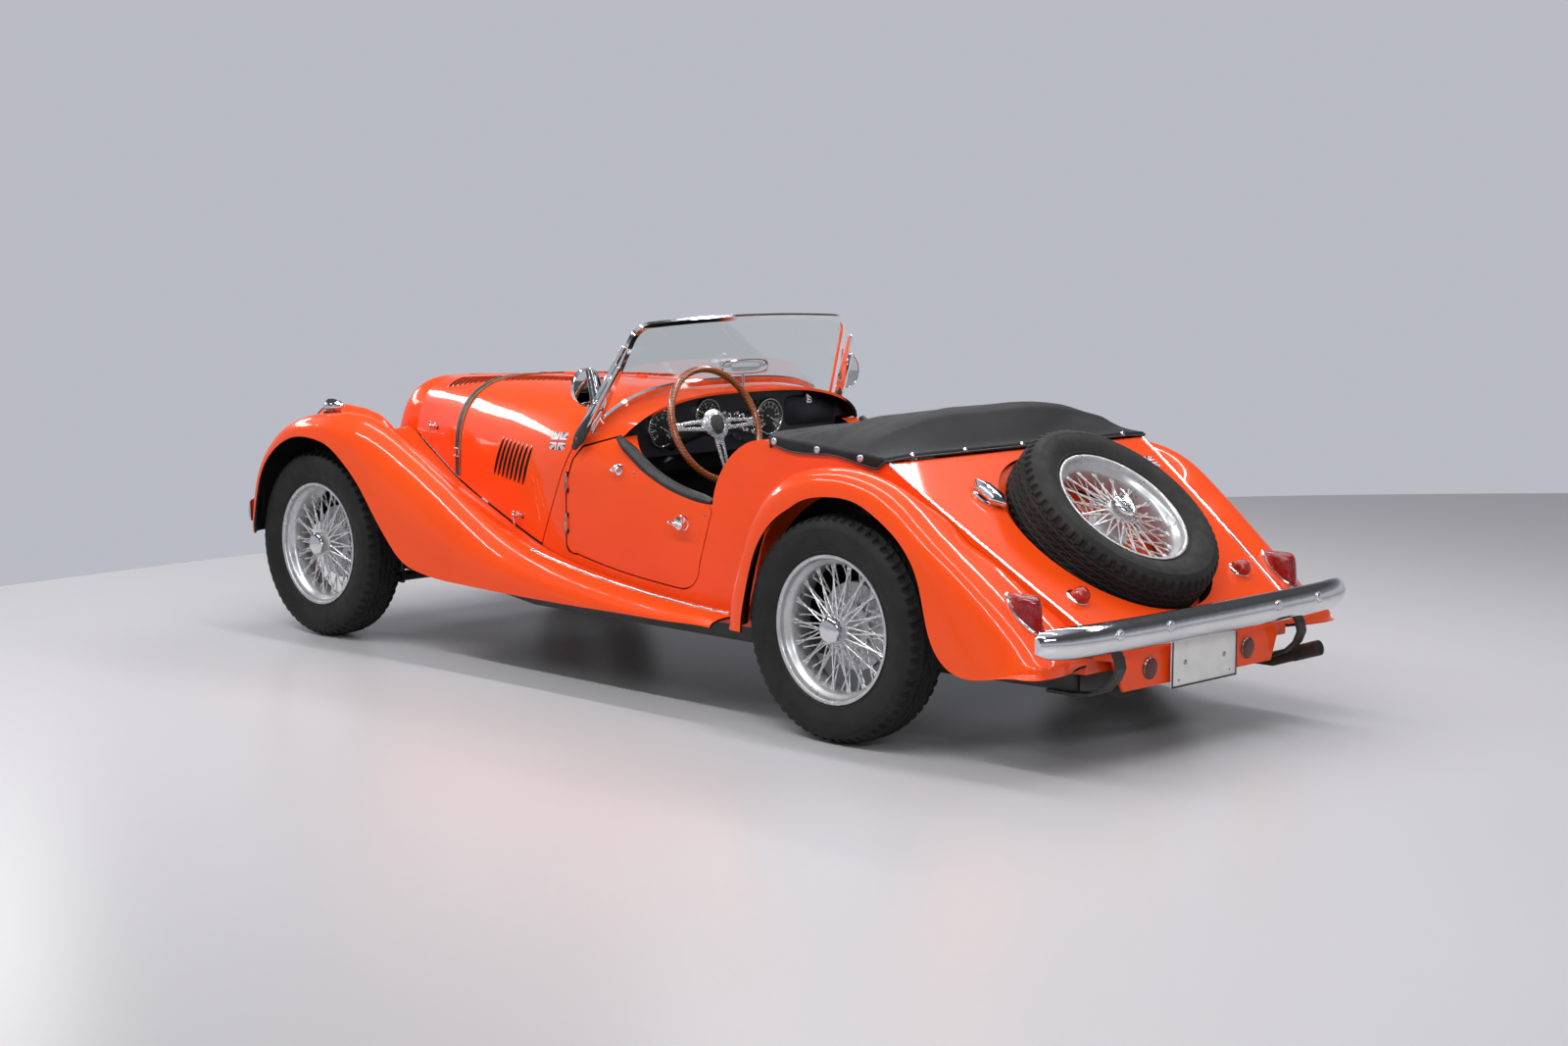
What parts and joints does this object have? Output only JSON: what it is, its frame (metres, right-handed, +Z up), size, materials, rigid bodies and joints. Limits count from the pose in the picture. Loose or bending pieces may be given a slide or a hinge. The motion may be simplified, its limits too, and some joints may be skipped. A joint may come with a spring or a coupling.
{
  "type": "roadster",
  "caption": "Open two-seat sports car with flowing separate wings, running boards, long hinged bonnet, wire wheels, fold-down hood under a cover and a spare wheel on the sloping tail.",
  "frame": {"origin": "centre of the car's bounding box on the ground", "axes": "+X forward, +Y to the car's left, +Z up"},
  "size_m": [3.658, 1.422, 1.1259],
  "materials": {
    "body_paint": "gloss",
    "chassis_black": "satin",
    "floor_black": "matte",
    "black_vinyl": "satin",
    "engine_grey": "satin",
    "exhaust_steel": "satin",
    "chrome": "polished",
    "plate_grey": "satin",
    "lamp_red": "gloss",
    "wheel_rim_wood": "gloss",
    "strap_leather": "satin",
    "glass": "clear",
    "tyre": "matte",
    "wheel_silver": "satin"
  },
  "bodies": {
    "body": {"bonnet_hinge": "body_paint", "chassis": "chassis_black", "dashboard": "black_vinyl", "engine": "engine_grey", "exhaust": "exhaust_steel", "floor": "floor_black", "front_axle": "chassis_black", "front_bumper": "chrome", "front_bumper_irons": "chassis_black", "fuel_tank": "chassis_black", "grille": "chrome", "headlamps": "chrome", "hood_cover": "black_vinyl", "inner_wings": "body_paint", "levers": "chrome", "mirrors": "chrome", "number_plate": "plate_grey", "radiator_cowl": "body_paint", "rear_axle": "chassis_black", "rear_body": "body_paint", "rear_bumper": "chrome", "rear_bumper_irons": "chassis_black", "rear_lamps": "lamp_red", "rear_valance": "body_paint", "scuttle": "body_paint", "seats": "black_vinyl", "steering_column": "chassis_black", "tyre_spare": "tyre", "wheel_spare": "wheel_silver", "windscreen_frame": "chrome", "windscreen_glass": "glass", "wings_front": "body_paint", "wings_rear": "body_paint"},
    "bonnet_left": {"bonnet_left": "body_paint", "strap_left": "strap_leather"},
    "bonnet_right": {"bonnet_right": "body_paint", "strap_right": "strap_leather"},
    "door_left": {"door_left": "body_paint"},
    "door_right": {"door_right": "body_paint"},
    "knuckle_left": {"knuckle_left": "chassis_black"},
    "knuckle_right": {"knuckle_right": "chassis_black"},
    "steering_wheel": {"steering_wheel": "wheel_rim_wood"},
    "road_wheel_front_left": {"wheel_front_left": "wheel_silver", "tyre_front_left": "tyre"},
    "road_wheel_front_right": {"wheel_front_right": "wheel_silver", "tyre_front_right": "tyre"},
    "road_wheel_rear_left": {"wheel_rear_left": "wheel_silver", "tyre_rear_left": "tyre"},
    "road_wheel_rear_right": {"wheel_rear_right": "wheel_silver", "tyre_rear_right": "tyre"}
  },
  "joints": [
    {"name": "steer_left", "type": "hinge", "parent": "body", "child": "knuckle_left", "pos_m": [1.438, 0.511, 0.317], "axis": [0, 0, 1], "range_deg": [-28, 28]},
    {"name": "steer_right", "type": "hinge", "parent": "body", "child": "knuckle_right", "pos_m": [1.438, -0.511, 0.317], "axis": [0, 0, 1], "range_deg": [-28, 28]},
    {"name": "steering_wheel_turn", "type": "hinge", "parent": "body", "child": "steering_wheel", "pos_m": [-0.136, 0.288, 0.803], "axis": [-0.9397, 0, 0.342], "range_deg": [-378, 378]},
    {"name": "wheel_spin_front_left", "type": "hinge", "parent": "knuckle_left", "child": "road_wheel_front_left", "pos_m": [1.438, 0.597, 0.317], "axis": [0, 1, 0], "continuous": true},
    {"name": "wheel_spin_front_right", "type": "hinge", "parent": "knuckle_right", "child": "road_wheel_front_right", "pos_m": [1.438, -0.597, 0.317], "axis": [0, 1, 0], "continuous": true},
    {"name": "wheel_spin_rear_left", "type": "hinge", "parent": "body", "child": "road_wheel_rear_left", "pos_m": [-1, 0.6225, 0.317], "axis": [0, 1, 0], "continuous": true},
    {"name": "wheel_spin_rear_right", "type": "hinge", "parent": "body", "child": "road_wheel_rear_right", "pos_m": [-1, -0.6225, 0.317], "axis": [0, 1, 0], "continuous": true},
    {"name": "door_left_swing", "type": "hinge", "parent": "body", "child": "door_left", "pos_m": [0.249, 0.558, 0.551], "axis": [0, 0, -1], "range_deg": [0, 70]},
    {"name": "door_right_swing", "type": "hinge", "parent": "body", "child": "door_right", "pos_m": [0.249, -0.558, 0.551], "axis": [0, 0, 1], "range_deg": [0, 70]},
    {"name": "bonnet_left_lift", "type": "hinge", "parent": "body", "child": "bonnet_left", "pos_m": [0.7825, 0, 0.89625], "axis": [0.9997, 0, -0.0248], "range_deg": [0, 60]},
    {"name": "bonnet_right_lift", "type": "hinge", "parent": "body", "child": "bonnet_right", "pos_m": [0.7825, 0, 0.89625], "axis": [-0.9997, 0, 0.0248], "range_deg": [0, 60]}
  ],
  "couplings": [
    {"joint": "steer_right", "follows": "steer_left", "ratio": 1},
    {"joint": "steering_wheel_turn", "follows": "steer_left", "ratio": 13.5}
  ]
}
